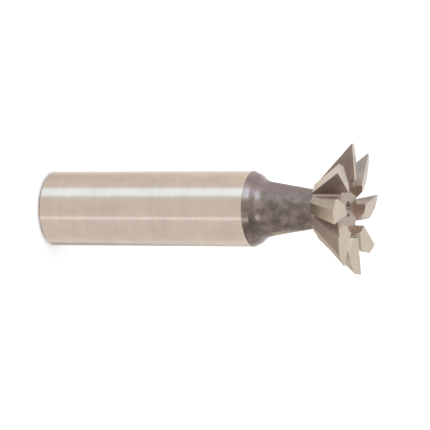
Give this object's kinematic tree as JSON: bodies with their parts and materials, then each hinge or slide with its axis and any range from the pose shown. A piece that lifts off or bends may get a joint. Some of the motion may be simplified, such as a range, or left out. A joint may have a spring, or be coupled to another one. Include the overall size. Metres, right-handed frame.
{
  "type": "angle milling cutter",
  "caption": "Shank-type angle milling cutter: plain ground shank, tapered neck and a coned head with straight pointed teeth and a recessed cutting end.",
  "frame": {"origin": "centre of the flat end face of the shank, at the bottom of the part", "axes": "+Z along the cutter's axis from the shank to the toothed end, +X from the axis through the cutting tip of one tooth"},
  "size_m": [0.028, 0.028, 0.0695],
  "materials": {
    "tool_steel": "ground bright on the shank and teeth, dark from heat treatment on the shoulder, neck and recess"
  },
  "bodies": {
    "root": {"angle_cutter": "tool_steel"}
  },
  "joints": []
}
